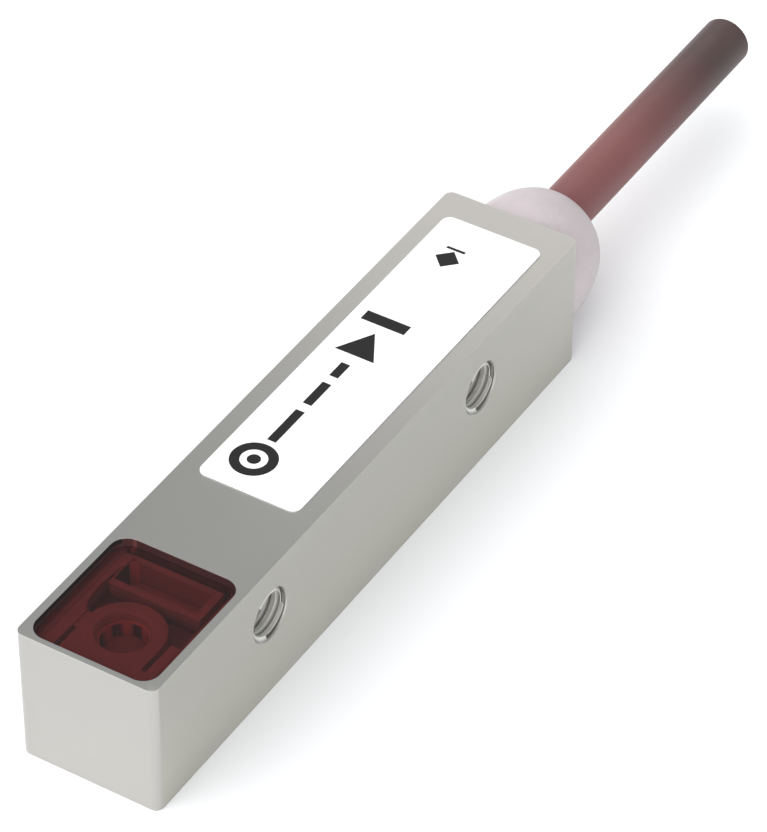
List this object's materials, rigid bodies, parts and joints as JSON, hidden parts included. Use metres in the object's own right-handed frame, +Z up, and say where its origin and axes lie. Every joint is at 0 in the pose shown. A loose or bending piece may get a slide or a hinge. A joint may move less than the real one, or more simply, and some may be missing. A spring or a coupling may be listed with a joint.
{
  "type": "photoelectric sensor",
  "caption": "Miniature block photoelectric sensor with threaded cross holes, a red window over its optics, a white roof label and a translucent gland with a short cable.",
  "frame": {"origin": "centre of the block's underside; the cable and gland are left out of that centre", "axes": "+Z up through the window and the label, +Y along the block to the gland and the cable, +X to the side, along the two M3 holes"},
  "size_m": [0.008, 0.0641, 0.0081],
  "materials": {
    "satin_nickel": "satin nickel plating on a zinc die casting",
    "red_window": "polished dark red transparent acrylic",
    "black_sealant": "matt black sealant",
    "carrier_plastic": "moulded dark plastic, seen through red",
    "clear_lens": "clear moulded lens",
    "filter_glass": "dark filter glass",
    "board_green": "green solder resist on laminate",
    "black_resin": "black moulding resin",
    "ceramic_tan": "fired tan ceramic",
    "resistor_black": "black glazed film on ceramic",
    "led_red": "clear red resin",
    "led_green": "clear green resin",
    "led_yellow": "clear yellow resin",
    "gold_pin": "gold flash on brass",
    "frosted_gland": "frosted translucent plastic",
    "clamp_steel": "bright crimped steel",
    "cable_jacket": "satin grey-brown polyurethane",
    "core_brown": "brown wire insulation",
    "core_blue": "blue wire insulation",
    "core_black": "black wire insulation",
    "white_label": "plain white printed foil"
  },
  "bodies": {
    "root": {"housing": "satin_nickel", "front_window": "red_window", "window_seal": "black_sealant", "optics_carrier": "carrier_plastic", "emitter_lens": "clear_lens", "receiver_filter": "filter_glass", "emitter_led": "led_red", "photodiode": "black_resin", "optics_board": "board_green", "link_pin_1": "gold_pin", "link_pin_2": "gold_pin", "link_pin_3": "gold_pin", "link_pin_4": "gold_pin", "main_board": "board_green", "sensor_asic": "black_resin", "voltage_regulator": "black_resin", "output_transistor": "black_resin", "protection_diode": "black_resin", "capacitor_supply": "ceramic_tan", "capacitor_filter": "ceramic_tan", "capacitor_front": "ceramic_tan", "resistor_gain": "resistor_black", "resistor_emitter": "resistor_black", "indicator_green": "led_green", "indicator_yellow": "led_yellow", "cable_gland": "frosted_gland", "gland_seal": "black_sealant", "cable_clamp": "clamp_steel", "cable_jacket": "cable_jacket", "core_brown": "core_brown", "core_blue": "core_blue", "core_black": "core_black", "top_label": "white_label"}
  },
  "joints": []
}
